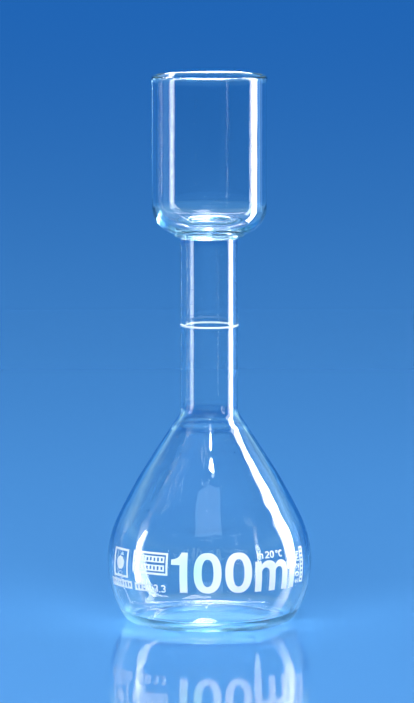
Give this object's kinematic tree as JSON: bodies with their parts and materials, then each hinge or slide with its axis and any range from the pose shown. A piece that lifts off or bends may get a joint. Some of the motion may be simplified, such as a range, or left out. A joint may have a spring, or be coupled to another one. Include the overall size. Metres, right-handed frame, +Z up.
{
  "type": "volumetric flask",
  "caption": "Clear glass volumetric flask with a pear-shaped bulb, narrow neck with an enamel ring mark, wide open cup mouth and white enamel capacity inscription.",
  "frame": {"origin": "centre of the foot's contact plane, on the flask's axis", "axes": "+Z up along the axis of the neck; the inscription faces -Y, with +X to its right"},
  "size_m": [0.0592, 0.0593, 0.159],
  "materials": {
    "clear_glass": "clear, fire-polished borosilicate glass",
    "white_enamel": "white ceramic enamel, screen-printed and fired, satin"
  },
  "bodies": {
    "root": {"bulb": "clear_glass", "neck_tube": "clear_glass", "cup": "clear_glass", "ring_mark": "white_enamel", "capacity_0_first": "white_enamel", "capacity_0_second": "white_enamel", "capacity_1": "white_enamel", "capacity_l": "white_enamel", "capacity_m": "white_enamel", "glass_number_3_first": "white_enamel", "glass_number_3_second": "white_enamel", "glass_number_point": "white_enamel", "low_bar_left": "white_enamel", "low_bar_right": "white_enamel", "origin_bar": "white_enamel", "square_frame": "white_enamel", "square_frame_disc": "white_enamel", "temperature_0": "white_enamel", "temperature_2": "white_enamel", "temperature_C": "white_enamel", "temperature_I": "white_enamel", "temperature_degree": "white_enamel", "temperature_n": "white_enamel", "tolerance_0": "white_enamel", "tolerance_2": "white_enamel", "tolerance_l": "white_enamel", "tolerance_m": "white_enamel", "tolerance_minus": "white_enamel", "tolerance_plus": "white_enamel", "tolerance_point": "white_enamel", "wide_frame": "white_enamel", "wide_frame_lower_bar": "white_enamel", "wide_frame_upper_bar": "white_enamel"}
  },
  "joints": []
}
